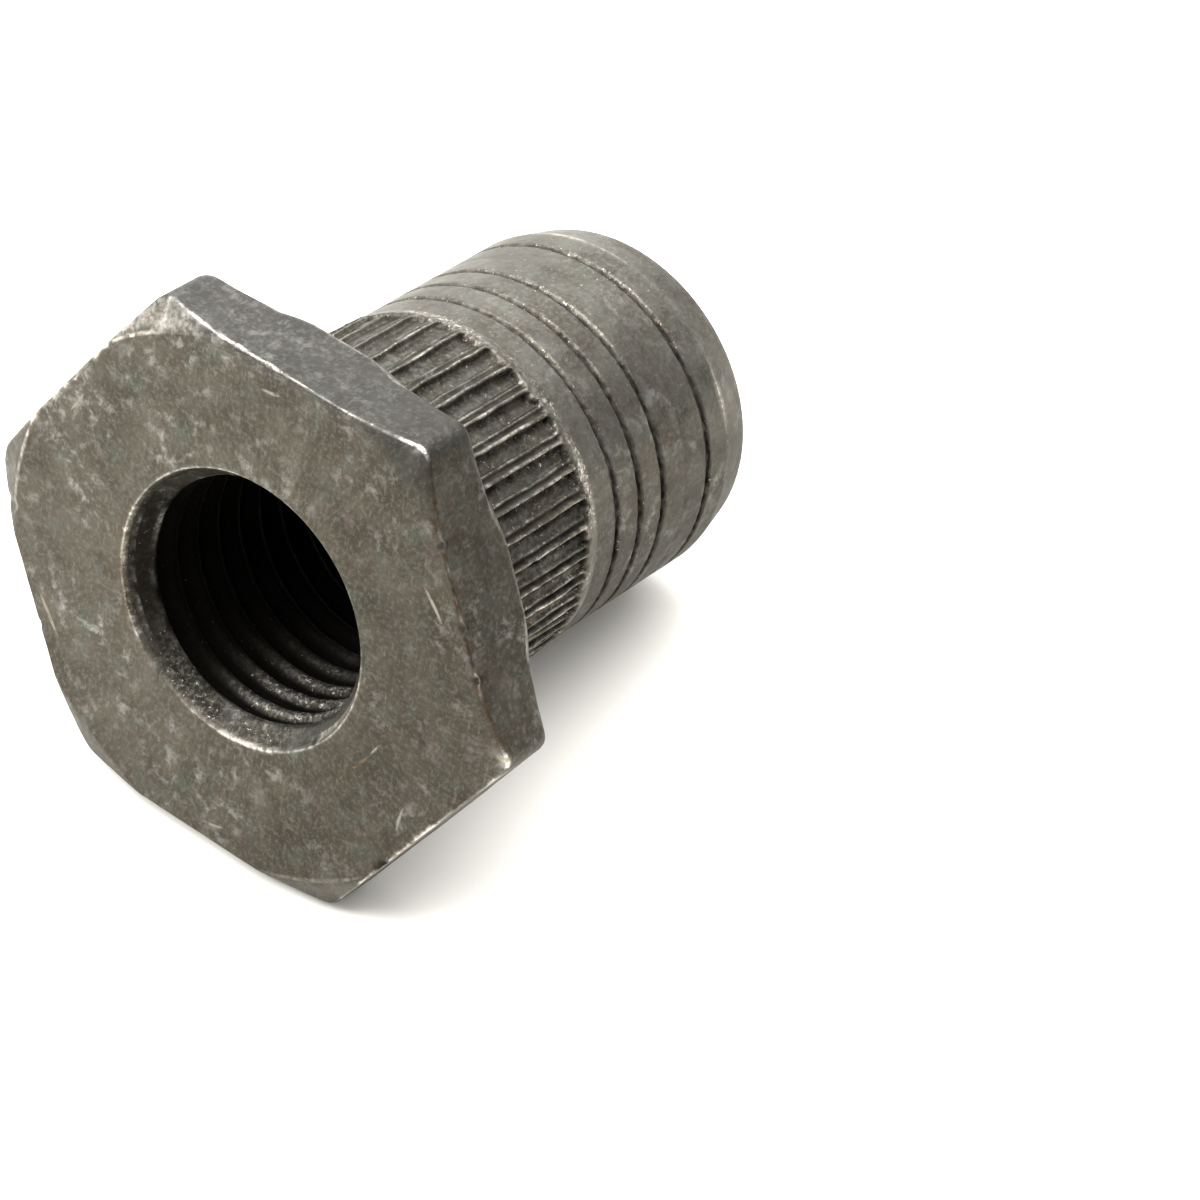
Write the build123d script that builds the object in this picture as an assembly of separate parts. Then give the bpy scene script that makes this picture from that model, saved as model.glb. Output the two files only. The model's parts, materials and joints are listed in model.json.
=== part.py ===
from build123d import *
import os
from math import atan2, cos, pi, radians, sin, tan

# A press-in nut: a thin hexagonal head on a long round shank, turned and rolled from one piece of
# steel. A ring of straight channels under the head bites into the hole that the shank is pressed
# into, and fine grooves run round the rest of the shank. All sizes are in millimetres.
#
# The nut is modelled standing in its own axes, with the head's outer face on the plane Z = 0, the
# shank towards +Z and the middle of one flat towards +X. Then it is laid down on the opposite flat
# and the rim of its shank, as it comes to rest on a table.

# Head
ACROSS_FLATS = 18.4
HEX_THICKNESS = 2.58          # from the outer face to the back of the corners
HEX_CORNER_RADIUS = 0.55      # rounding of the six upright corners
FACE_DIAMETER = 18.93         # flat part of the outer face, inside the chamfered corners
CORNER_CHAMFER_ANGLE = 30.0   # between the chamfer and the outer face
SEAT_HEIGHT = 0.37            # round seat that stands out of the back of the hexagon
SEAT_DIAMETER = 18.52         # where the seat meets the work
SEAT_FLARE = 0.22             # how far the seat's edge spreads down to the hexagon, on the radius

# Shank
SHANK_LENGTH = 16.83          # from the seat to the end
SHANK_DIAMETER = 12.44
END_CHAMFER_LENGTH = 1.5
END_CHAMFER_DEPTH = 0.37      # on the radius

# Straight knurl: each rolled tooth has two lips with a crease between them
KNURL_DIAMETER = 12.66        # over the lips
KNURL_LENGTH = 7.33           # from the seat to the closed end of the channels
CREST_SETBACK = 0.2           # the lips stop at full height this far before the closed end
KNURL_RUNOUT = 0.7            # burred edge that falls from the full height to the shank
CHANNEL_COUNT = 39
CHANNEL_SHARE = 0.64          # of the pitch, the rest is the tooth
CHANNEL_DEPTH = 0.3
CHANNEL_CORNER_RADIUS = 0.16  # in the plan of the closed end
CHANNEL_ROOT_RADIUS = 0.08    # between the floor and the walls
LIP_WIDTH = 0.065
CREASE_DEPTH = 0.15
FIRST_TOOTH_ANGLE = 4.8       # from the middle of the flat towards +X

# Ring grooves
GROOVE_PITCH = 1.3
GROOVE_STEPS = (0, 1, 2, 4)   # the grooves keep to an even pitch, and one place is left plain
GROOVE_WIDTH = 0.28
GROOVE_DEPTH = 0.17
LAST_GROOVE_TO_END = 2.65     # from the last groove to the end of the shank

# Bore: 3/8 inch, 24 threads to the inch, left plain at the size over the thread's crests
BORE_DIAMETER = 8.56
MOUTH_DIAMETER = 9.78
MOUTH_DEPTH = 0.9
TAIL_COUNTERSINK_DIAMETER = 9.7
TAIL_COUNTERSINK_DEPTH = 0.57

# Worked out from the sizes above
HEAD_THICKNESS = HEX_THICKNESS + SEAT_HEIGHT
OVERALL_LENGTH = HEAD_THICKNESS + SHANK_LENGTH
CHAMFER_START = OVERALL_LENGTH - END_CHAMFER_LENGTH
KNURL_END = HEAD_THICKNESS + KNURL_LENGTH
CORNER_RADIUS = ACROSS_FLATS / 2 / cos(radians(30))
HEAD_MIDDLE = HEAD_THICKNESS / 2
TOOTH_PITCH = pi * KNURL_DIAMETER / CHANNEL_COUNT
CHANNEL_WIDTH = CHANNEL_SHARE * TOOTH_PITCH
CREASE_WIDTH = TOOTH_PITCH - CHANNEL_WIDTH - 2 * LIP_WIDTH
SPARE = 1.0                   # how far each cutting shape runs past the surface that it opens


def revolved(points):
    """A solid of revolution about Z from (radius, height) corners."""
    outline = Polyline(*[(radius, 0, height) for radius, height in points], close=True)
    return revolve(make_face(outline), axis=Axis.Z)


def make_head():
    """Hexagon with rounded upright corners, a chamfered outer face and a round seat behind."""
    hexagon = RegularPolygon(CORNER_RADIUS, 6, rotation=30)
    prism = extrude(fillet(hexagon.vertices(), HEX_CORNER_RADIUS), HEAD_THICKNESS)
    past_corners = CORNER_RADIUS + SPARE
    chamfer_rise = (past_corners - FACE_DIAMETER / 2) * tan(radians(CORNER_CHAMFER_ANGLE))
    turned = revolved([
        (0, 0),
        (FACE_DIAMETER / 2, 0),
        (past_corners, chamfer_rise),
        (past_corners, HEX_THICKNESS),
        (SEAT_DIAMETER / 2 + SEAT_FLARE, HEX_THICKNESS),
        (SEAT_DIAMETER / 2, HEAD_THICKNESS),
        (0, HEAD_THICKNESS),
    ])
    return prism & turned


def make_shank():
    """The round blank of the shank, thicker where the knurl is rolled, from inside the head on."""
    shank_radius = SHANK_DIAMETER / 2
    knurl_radius = KNURL_DIAMETER / 2
    crest_end = KNURL_END - CREST_SETBACK
    return revolved([
        (0, HEAD_MIDDLE),
        (knurl_radius, HEAD_MIDDLE),
        (knurl_radius, crest_end),
        (shank_radius, crest_end + KNURL_RUNOUT),
        (shank_radius, CHAMFER_START),
        (shank_radius - END_CHAMFER_DEPTH, OVERALL_LENGTH),
        (0, OVERALL_LENGTH),
    ])


def channel_cutter():
    """The shape of one channel: a flat floor, upright walls and a rounded closed end."""
    floor_radius = KNURL_DIAMETER / 2 - CHANNEL_DEPTH
    length = KNURL_END - HEAD_MIDDLE
    plan = Plane(origin=(floor_radius, 0, HEAD_MIDDLE + length / 2), x_dir=(0, 1, 0), z_dir=(1, 0, 0))
    outline = Rectangle(CHANNEL_WIDTH, length)
    closed_end = outline.vertices().sort_by(Axis.Y)[-2:]
    block = extrude(plan * fillet(closed_end, CHANNEL_CORNER_RADIUS), CHANNEL_DEPTH + SPARE)
    floor = block.faces().sort_by(Axis.X)[0]
    return fillet(floor.edges(), CHANNEL_ROOT_RADIUS)


def crease_cutter():
    """The shape of one crease: a narrow vee down the middle of a tooth."""
    crest_radius = KNURL_DIAMETER / 2
    slope = CREASE_WIDTH / 2 / CREASE_DEPTH
    top_half_width = CREASE_WIDTH / 2 + slope * SPARE
    vee = Polyline(
        (crest_radius - CREASE_DEPTH, 0),
        (crest_radius + SPARE, top_half_width),
        (crest_radius + SPARE, -top_half_width),
        close=True,
    )
    return extrude(Plane.XY.offset(HEAD_MIDDLE) * make_face(vee), KNURL_END - HEAD_MIDDLE)


def knurl_cutters():
    """One crease in the middle of each tooth, and one channel half a pitch further round."""
    step = 360 / CHANNEL_COUNT
    channel = channel_cutter()
    crease = crease_cutter()
    cutters = []
    for number in range(CHANNEL_COUNT):
        angle = FIRST_TOOTH_ANGLE + number * step
        cutters.append(Rot(0, 0, angle) * crease)
        cutters.append(Rot(0, 0, angle + step / 2) * channel)
    return cutters


def groove_cutters():
    """The vee grooves round the shank, counted from the knurl."""
    last_groove = OVERALL_LENGTH - LAST_GROOVE_TO_END
    shank_radius = SHANK_DIAMETER / 2
    slope = GROOVE_WIDTH / 2 / GROOVE_DEPTH
    half_width = GROOVE_WIDTH / 2 + slope * SPARE
    cutters = []
    for step in GROOVE_STEPS:
        height = last_groove - (GROOVE_STEPS[-1] - step) * GROOVE_PITCH
        cutters.append(revolved([
            (shank_radius - GROOVE_DEPTH, height),
            (shank_radius + SPARE, height - half_width),
            (shank_radius + SPARE, height + half_width),
        ]))
    return cutters


def bore_cutter():
    """The through hole, countersunk at both ends."""
    bore_radius = BORE_DIAMETER / 2
    mouth_radius = MOUTH_DIAMETER / 2
    tail_radius = TAIL_COUNTERSINK_DIAMETER / 2
    return revolved([
        (0, -SPARE),
        (mouth_radius, -SPARE),
        (mouth_radius, 0),
        (bore_radius, MOUTH_DEPTH),
        (bore_radius, OVERALL_LENGTH - TAIL_COUNTERSINK_DEPTH),
        (tail_radius, OVERALL_LENGTH),
        (tail_radius, OVERALL_LENGTH + SPARE),
        (0, OVERALL_LENGTH + SPARE),
    ])


def rest_tilt():
    """How far the shank's end drops below level when it lies on a flat and its own rim."""
    flat_distance = ACROSS_FLATS / 2
    shank_radius = SHANK_DIAMETER / 2
    on_chamfer_start = atan2(flat_distance - shank_radius, CHAMFER_START - HEAD_THICKNESS)
    on_end = atan2(flat_distance - shank_radius + END_CHAMFER_DEPTH, OVERALL_LENGTH - HEAD_THICKNESS)
    return min(on_chamfer_start, on_end)


def lay_down(nut):
    """Lie the nut along +Y on its flat towards -X, and centre it on the table over the origin."""
    tilt = rest_tilt()
    lying = Plane(origin=(0, 0, 0), x_dir=(0, sin(tilt), cos(tilt)), z_dir=(0, cos(tilt), -sin(tilt)))
    nut = lying.location * nut
    box = nut.bounding_box()
    return Pos(-box.center().X, -box.center().Y, -box.min.Z) * nut


def make_nut():
    shank = make_shank() - knurl_cutters() - groove_cutters()
    nut = make_head() + shank - bore_cutter()
    return lay_down(nut)


os.makedirs("parts", exist_ok=True)
export_step(make_nut(), "parts/press_nut.step")
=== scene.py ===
import json
from itertools import product

import bmesh
import bpy
import numpy as np
from mathutils import Matrix, Vector


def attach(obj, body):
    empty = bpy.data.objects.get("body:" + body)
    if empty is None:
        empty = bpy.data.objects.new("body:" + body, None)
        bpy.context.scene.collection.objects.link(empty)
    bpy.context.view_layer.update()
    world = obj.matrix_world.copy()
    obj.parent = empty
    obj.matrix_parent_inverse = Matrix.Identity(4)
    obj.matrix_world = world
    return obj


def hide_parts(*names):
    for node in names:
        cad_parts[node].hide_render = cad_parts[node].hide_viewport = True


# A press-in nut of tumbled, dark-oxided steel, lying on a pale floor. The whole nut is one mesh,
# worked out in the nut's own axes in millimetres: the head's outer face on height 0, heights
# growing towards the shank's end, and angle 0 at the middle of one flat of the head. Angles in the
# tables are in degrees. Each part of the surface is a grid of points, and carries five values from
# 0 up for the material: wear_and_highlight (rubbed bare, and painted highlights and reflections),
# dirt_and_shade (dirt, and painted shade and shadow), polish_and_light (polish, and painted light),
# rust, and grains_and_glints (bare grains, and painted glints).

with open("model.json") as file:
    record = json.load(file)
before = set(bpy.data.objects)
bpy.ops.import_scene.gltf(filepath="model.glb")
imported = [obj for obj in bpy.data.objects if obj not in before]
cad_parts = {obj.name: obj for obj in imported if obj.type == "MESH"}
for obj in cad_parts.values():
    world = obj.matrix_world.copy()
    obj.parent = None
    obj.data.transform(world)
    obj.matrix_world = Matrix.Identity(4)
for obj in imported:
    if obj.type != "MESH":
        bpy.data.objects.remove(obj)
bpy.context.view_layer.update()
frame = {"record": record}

MM = 0.001

# Head
ACROSS_FLATS = 18.4
HEX_THICKNESS = 2.58
HEX_CORNER_RADII = (0.65, 0.65, 0.5, 0.65, 1.0, 1.0)     # of the corners at 30, 90, 150 ... 330 degrees
FACE_RADIUS = 9.465           # flat part of the outer face, inside the chamfered corners
CHAMFER_SLOPE = 0.5           # rise over run of the corners' chamfer
EDGE_BREAK = 0.07             # narrowest bevel left on the head's edges, at the middle of a flat
LEAST_DROP = 0.045            # and its least height on the front edge
HEAD_THICKNESS = 2.95
SEAT_RADIUS = 9.26
SEAT_FOOT_RADIUS = 9.48

# Corners of the head's profile, from the bore outwards
MOUTH_STEP, RIM, FACE_EDGE, FRONT_EDGE, BACK_EDGE = range(5)

# Damage to the head's front edge: angle, half its width in degrees, depth
NICKS = (
    (45.8, 0.9, 0.16), (62.4, 0.8, 0.13), (73.3, 0.7, 0.16), (130.6, 1.5, 0.36), (111.0, 0.8, 0.08),
    (236.0, 0.8, 0.08), (262.0, 1.0, 0.10), (291.5, 0.6, 0.06), (301.0, 0.8, 0.07), (348.0, 1.2, 0.06),
    (356.0, 1.6, 0.05),
)
# How brightly the front edge is rubbed bare and painted with edge highlights, round the head:
# angle, share
FRONT_EDGE_BARE_AND_HIGHLIGHT = (
    (-34, 0.4), (-30, 0.6), (-26, 0.75), (-20, 0.8), (-15, 1.2), (-8, 0.95), (-2, 0.75), (4, 0.45), (8, 0.3),
    (14, 0.2), (20, 0.3), (24, 0.6), (26.5, 1.4), (30, 1.6), (33, 0.3), (40, 0.15), (60, 0.25), (84, 0.3),
    (88, 1.2), (92, 1.3), (96, 0.35), (106, 0.25), (110, 1.0), (126, 1.2), (128, 1.5), (130, 0.2), (131, 0.3),
    (132.5, 1.5), (137, 1.0), (150, 0.6), (165, 0.4), (208, 0.4), (240, 0.3), (268, 0.5), (285, 0.9),
    (315, 0.9), (322, 0.4),
)
# The edge between the outer face and each corner's chamfer: angle, rounding, share rubbed bare
CHAMFER_EDGE = (
    (-30, 0.35, 0.60), (30, 1.0, 0.0), (90, 1.0, 0.1), (150, 0.35, 0.3), (210, 0.5, 0.13), (270, 0.3, 0.42),
)
# Where the mouth's rim is rubbed bare and painted with its bright highlight: angle, degrees from it
# to none and to full, share
RIM_BARE_AND_HIGHLIGHT = ((306, 54, 40, 0.3), (122, 48, 32, 0.4), (166, 20, 8, 0.6))

# Shank
OVERALL_LENGTH = 19.78
SHANK_RADIUS = 6.22
CHAMFER_START = 18.28
END_RADIUS = 5.85

# Knurl
CREST_RADIUS = 6.33
KNURL_END = 10.28
RUNOUT_END = 10.78
TOOTH_COUNT = 39
FIRST_TOOTH_ANGLE = np.radians(4.8)
TOOTH_PITCH = 2 * np.pi * CREST_RADIUS / TOOTH_COUNT
CHANNEL_CORNER_RADIUS = 0.16
MOST_TURN_IN = 0.11           # of a channel's side, at its closed end
FIRST_LIP_PLACE = 0.145
SECOND_LIP_PLACE = -0.16
# One tooth and one channel across, from the middle of the tooth's crease: place along the pitch,
# depth below the lips, how far the place turns in at the channel's closed end, and darkening: a
# painted shadow in the channel under the first lip, and darker in the crease
ACROSS_TOOTH = np.array([
    (-0.310, 0.262, 0.70, 0.30), (-0.255, 0.250, 0.85, 0.35), (-0.220, 0.215, 1.0, 0.30),
    (-0.196, 0.165, 1.0, 0.2), (-0.172, 0.130, 1.0, 0.0), (-0.140, 0.122, 0.0, 0.0),
    (-0.105, 0.135, 0.0, 0.35), (-0.060, 0.165, 0.0, 0.75), (0.000, 0.170, 0.0, 0.8),
    (0.050, 0.100, 0.0, 0.6), (0.095, 0.025, 0.0, 0.15), (0.145, 0.000, 0.0, 0.0),
    (0.185, 0.020, 1.0, 0.25), (0.206, 0.090, 1.0, 0.9), (0.230, 0.235, 1.0, 1.0),
    (0.275, 0.300, 0.85, 1.0), (0.360, 0.305, 0.60, 1.0), (0.450, 0.290, 0.30, 0.75),
    (0.590, 0.262, 0.0, 0.30),
])

# Ring grooves: height, share of full depth. The fourth was barely scratched.
GROOVES = ((11.93, 1.0), (13.23, 1.0), (14.53, 1.0), (15.83, 0.12), (17.13, 1.0))
GROOVE_HALF_WIDTH = 0.15
GROOVE_DEPTH = 0.12
GROOVE_OFFSETS = (-0.23, -0.17, -0.13, -0.08, 0.0, 0.08, 0.13, 0.17, 0.23)     # of its rings, from its middle
# Places where the shank is rubbed bright, some of them painted highlights on the groove edges:
# angle, height, half width in degrees, half height
BRIGHT_SPOTS = (
    (0.0, 11.82, 3.0, 0.07), (-21.0, 13.15, 3.5, 0.10), (17.0, 14.66, 12.0, 0.05), (-2.0, 17.03, 1.2, 0.08),
    (-22.0, 17.06, 1.4, 0.07), (-4.0, 12.5, 4.5, 0.35), (-5.0, 10.55, 5.0, 0.2), (56.0, 10.5, 9.0, 0.2),
    (28.0, 10.45, 8.0, 0.12), (100.0, 10.5, 12.0, 0.15), (150.0, 12.6, 6.0, 0.3), (230.0, 14.0, 8.0, 0.25),
)
# How polished the shank is, round it, with painted light and shade: angle, share. Lightest on the
# upper left where the light falls, and little on the side turned to the shadowed floor.
SHANK_POLISH_AND_LIGHT = (
    (-60, 1.6), (-23, 1.9), (-4, 1.0), (20, 1.2), (36, 0.95), (64, 1.15), (87, 0.2), (130, 0.3), (180, 0.8),
    (240, 1.0),
)

# Bore and its 3/8 inch thread, 24 threads to the inch
MOUTH_RADIUS = 4.89
MOUTH_STEP_RADIUS = 4.69
MOUTH_STEP_DEPTH = 0.37
MOUTH_DEPTH = 0.9
TAIL_MOUTH_RADIUS = 4.85
TAIL_MOUTH_DEPTH = 0.57
THREAD_PITCH = 25.4 / 24
CREST_BORE_RADIUS = 4.28
ROOT_BORE_RADIUS = 4.76
FIRST_ROOT_HEIGHT = 0.66      # height of a thread root at angle 0
THREAD_FLANK = (0.06, 0.38)   # shares of the pitch from a root's middle where a flank starts and ends

# Scratches and tool marks on the outer face: x, y, direction, length, width, bend
FACE_MARKS = (
    (-4.56, -7.32, -39, 1.9, 0.18, 0.1), (3.86, -7.55, 26, 1.2, 0.13, 0.5), (8.30, -0.36, 80, 0.9, 0.15, 0.3),
    (4.46, 6.95, -45, 1.5, 0.17, 0.3), (-3.86, 7.40, 5, 1.2, 0.13, -0.8), (-8.53, 0.55, 76, 1.0, 0.14, 0.8),
    (-1.9, 6.0, 27, 0.7, 0.1, 0.0),
)
RUST_SCRATCH = (-3.32, 5.2, 31, 4.2, 0.12, 0.2)

# Studio: the direction its walls are brightest in, and how bright they and the far side are
BRIGHT_SIDE = (-0.55, 0.35, 0.76)
BRIGHT_STRENGTH = 2.4
DIM_STRENGTH = 0.0
FLOOR_REACH = 0.8             # metres from the floor's middle to its sides

HEAD_COLUMNS = 576
SHANK_COLUMNS = 448
BORE_COLUMNS = 96
ROWS_PER_THREAD = 7


# ---- Numbers that change smoothly -----------------------------------------------------------

def grain(points, size, seed):
    """Random values from -1 to 1 that change over `size` millimetres: random values on a cubic
    lattice, blended along each axis by 3t² - 2t³."""
    lattice = np.random.default_rng(seed).uniform(-1, 1, (32, 32, 32))
    scaled = points / size
    cell = np.floor(scaled).astype(int)
    blend = scaled - cell
    blend = blend * blend * (3 - 2 * blend)
    total = 0
    for corner in product((0, 1), repeat=3):
        share = np.prod(np.where(corner, blend, 1 - blend), axis=-1)
        x, y, z = np.moveaxis((cell + corner) % 32, -1, 0)
        total = total + share * lattice[x, y, z]
    return total


def ramp(value, low, high):
    """0 at `low`, 1 at `high`, and 3t² - 2t³ between."""
    share = np.clip((value - low) / (high - low), 0, 1)
    return share * share * (3 - 2 * share)


def hill(value, middle, width):
    """exp(-((value - middle) / width)²)."""
    return np.exp(-(((value - middle) / width) ** 2))


def turned(angle, middle):
    """Degrees from `middle` to an angle in radians, from -180 to 180."""
    return (np.degrees(angle) - middle + 180) % 360 - 180


def facing(angle, middle, none, full):
    """0 at `none` degrees from `middle` and beyond, 1 at `full` degrees, and smooth between."""
    return ramp(np.abs(turned(angle, middle)), none, full)


def around(angle, middle, width):
    """exp(-(degrees from `middle` / width)²)."""
    return hill(turned(angle, middle), 0, width)


def round_the_nut(angle, table):
    """The columns of a table (angle, value ...) at an angle in radians, straight between its rows."""
    degrees, *columns = np.array(table).T
    return [np.interp(np.degrees(angle), degrees, column, period=360) for column in columns]


def near(rows, corner, width):
    """exp(-(distance / width)²), with the distance from one corner of a profile."""
    return np.exp(-((np.linalg.norm(rows - corner, axis=-1) / width) ** 2))


# ---- Points ---------------------------------------------------------------------------------

def cylindrical(angle, radius, height):
    """Points (radius cos angle, radius sin angle, height)."""
    angle, radius, height = np.broadcast_arrays(angle, radius, height)
    return np.stack([radius * np.cos(angle), radius * np.sin(angle), height], axis=-1)


def profile(angle, corners):
    """The corners (radius, height) of a profile at every angle, as (corner, column, 2)."""
    columns = [np.broadcast_arrays(radius, height, angle)[:2] for radius, height in corners]
    return np.array(columns).transpose(0, 2, 1)


def soften(corners, roundings, steps):
    """Rows of points along a profile whose corners are rounded. `corners` is (corner, column, 2).
    Each inner corner c becomes the curve (1-t)²a + 2t(1-t)c + t²b, with a and b on its two sides,
    rounding × tan(half the turn) away and never past 0.45 of a side. `steps` is where the rows on
    each side stand, as shares of it."""
    sides = np.diff(corners, axis=0)
    lengths = np.linalg.norm(sides, axis=-1, keepdims=True)
    ways = sides / np.maximum(lengths, 1e-9)
    rows = []
    start = corners[0]
    for k in range(1, len(corners)):
        if k == len(corners) - 1:
            before = corners[k]
        else:
            turn = np.clip((ways[k - 1] * ways[k]).sum(-1, keepdims=True), -0.999, 1)
            back = roundings[k - 1] * np.sqrt((1 - turn) / (1 + turn))
            back = np.minimum(back, 0.45 * np.minimum(lengths[k - 1], lengths[k]))
            before = corners[k] - back * ways[k - 1]
        rows += [start + (before - start) * share for share in steps[k - 1]]
        if k == len(corners) - 1:
            rows.append(before)
        else:
            after = corners[k] + back * ways[k]
            for t in (0, 1 / 3, 2 / 3, 1):
                rows.append((1 - t) ** 2 * before + 2 * t * (1 - t) * corners[k] + t * t * after)
            start = after
    return np.array(rows)


# ---- Head -----------------------------------------------------------------------------------

def side_radius(angle):
    """Distance from the axis to the head's sides: half the size across flats over the cosine of
    the angle from the flat's middle, and on a corner the far crossing with its rounding circle."""
    from_flat = np.abs((angle + np.pi / 6) % (np.pi / 3) - np.pi / 6)
    from_corner = np.pi / 6 - from_flat
    corner_radius = np.array(HEX_CORNER_RADII)[(angle % (2 * np.pi) / (np.pi / 3)).astype(int) % 6]
    centre = (ACROSS_FLATS / 2 - corner_radius) / np.cos(np.pi / 6)
    flat = ACROSS_FLATS / 2 / np.cos(from_flat)
    reach = np.maximum(corner_radius**2 - (centre * np.sin(from_corner)) ** 2, 0)
    rounded = centre * np.cos(from_corner) + np.sqrt(reach)
    on_corner = np.tan(from_flat) > centre * np.sin(np.pi / 6) / (ACROSS_FLATS / 2)
    return np.where(on_corner, rounded, flat)


def countersink_shade(angle):
    """Painted shade on the mouth's cone, on the side turned from the light: a third of the way round
    it, darkest at 262 degrees, and a little darkening at 157."""
    shaded_cone_side = 0.63 * facing(angle, 238, 80, 50) + 0.12 * facing(angle, 262, 45, 25)
    return 0.05 + shaded_cone_side + 0.15 * facing(angle, 157, 22, 8)


def countersink_light(angle):
    """Painted light on the mouth's cone, as polish: most at 108 degrees, on the lower side where the
    light falls.
    """
    return 1.2 * facing(angle, 108, 60, 20)


def countersink_glints(angle):
    """Bare grains and painted glints on the mouth's cone: most at 165 degrees, where the light falls."""
    return 0.14 + 0.17 * facing(angle, 165, 85, 30)


def head_damage(angle, edge):
    """How deep the front edge is nicked, and how far it wavers, most on two serrated stretches."""
    nicks = sum(depth * around(angle, middle, width) for middle, width, depth in NICKS)
    serrated = (around(angle, 300, 24) + around(angle, -12, 16)) * 0.03 * grain(edge, 0.33, 4)
    return nicks, 0.012 * grain(edge, 0.5, 5) + 0.012 * grain(edge, 1.6, 6) + serrated


def head_corners(angle, side, nicks, ragged):
    """The corners of the head's profile. The front edge drops by the chamfer's slope times how far
    the side is past the outer face, a little less at the worn corner at 30 degrees, and a nick
    takes it down and the face's edge in. The seat's flare is a straight slope cut by the flats."""
    worn = 1 - 0.2 * around(angle, 30, 12)
    drop = np.maximum((side - FACE_RADIUS) * CHAMFER_SLOPE * worn, LEAST_DROP)
    seat_slope = (HEAD_THICKNESS - HEX_THICKNESS) / (SEAT_FOOT_RADIUS - SEAT_RADIUS)
    back = np.clip(HEAD_THICKNESS - (side - SEAT_RADIUS) * seat_slope, HEX_THICKNESS, HEAD_THICKNESS - 0.03)
    return profile(angle, (
        (MOUTH_STEP_RADIUS, MOUTH_STEP_DEPTH),
        (MOUTH_RADIUS, 0),
        (np.minimum(FACE_RADIUS, side - EDGE_BREAK) - 0.9 * nicks + 0.5 * ragged, 0),
        (side, drop + nicks + np.maximum(ragged, -0.02)),
        (side, back),
        (np.minimum(SEAT_FOOT_RADIUS, side - 0.03), np.minimum(back + 0.004, HEAD_THICKNESS - 0.02)),
        (np.minimum(SEAT_RADIUS, side - EDGE_BREAK), HEAD_THICKNESS),
        (CREST_RADIUS + 0.04, HEAD_THICKNESS),
    ))


def head_wear_and_highlights(angle, side, corners, rows, points, chamfer_wear):
    """Where the head is rubbed bare, with painted highlights: along its edges, a painted reflection of
    the lit floor on the side by the flat at 120 degrees, and flecks on the chamfer at 330."""
    radius, height = rows[..., 0], rows[..., 1]
    edge = cylindrical(angle, side, 0)

    rim_teeth = np.clip(grain(cylindrical(angle, MOUTH_RADIUS, 0), 0.17, 18), 0, 1)
    rim = 0.06 + sum(share * facing(angle, *where) for *where, share in RIM_BARE_AND_HIGHLIGHT) + 0.2 * grain(edge, 0.5, 12)
    rim = rim + 1.2 * rim_teeth * facing(angle, 262, 38, 22)
    rim_width = 0.03 + 0.015 * np.clip(rim, 0, 1) + 0.03 * rim_teeth
    wear_and_highlight = near(rows, corners[RIM], rim_width) * np.clip(rim, 0, 1.2)
    step_flecks = np.clip(0.3 + grain(points, 0.2, 20), 0, 1)
    wear_and_highlight += 0.2 * near(rows, corners[MOUTH_STEP], 0.02) * facing(angle, 245, 50, 30) * step_flecks

    front_bare_and_highlight, = round_the_nut(angle, FRONT_EDGE_BARE_AND_HIGHLIGHT)
    width = 0.04 + 0.05 * facing(angle, 116, 22, 10) + 0.06 * around(angle, 90, 3)
    width += 0.05 * facing(angle, 300, 26, 20) + 0.05 * around(angle, -16, 3)
    width = width * np.clip(0.9 + 0.8 * grain(edge, 0.3, 19), 0.35, 1.7) + 0.05 * around(angle, 29, 2)
    wandering = np.clip(0.6 + 0.9 * grain(points, 0.7, 11) + 0.9 * grain(points, 0.25, 14), 0.0, 1.7)
    wear_and_highlight += near(rows, corners[FRONT_EDGE], width) * front_bare_and_highlight * wandering

    front_drop = corners[FRONT_EDGE][:, 1]
    # Painted reflection of the lit floor: the side by the flat at 120 degrees is made pale.
    painted_floor_reflection = facing(angle, 119, 28, 24) * ramp(height, front_drop, front_drop + 0.1)
    wear_and_highlight += painted_floor_reflection * ramp(height, 1.6, 0.2) * np.clip(0.5 + 0.6 * grain(points, 0.9, 16), 0, 0.9)
    at_face_edge, at_back_edge = near(rows, corners[FACE_EDGE], 0.05), near(rows, corners[BACK_EDGE], 0.05)
    wear_and_highlight += (at_face_edge * chamfer_wear + at_back_edge * 0.35) * (0.8 + 0.6 * grain(points, 0.9, 13))
    flecked = facing(angle, 330, 13, 9) * ramp(radius, 9.45, 9.6) * (height < 0.5 * (side - 9.4))
    flecks = 0.65 + 0.5 * grain(points, 0.7, 15) + 0.9 * grain(points, 0.22, 17)
    wear_and_highlight += 0.33 * flecked * np.clip(flecks, 0, 1.4)
    wear_and_highlight += 0.8 * at_face_edge * facing(angle, 300, 27, 22) * np.clip(0.4 + 1.2 * grain(edge, 0.25, 8), 0, 1)
    return np.clip(wear_and_highlight, 0, 1)


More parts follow.
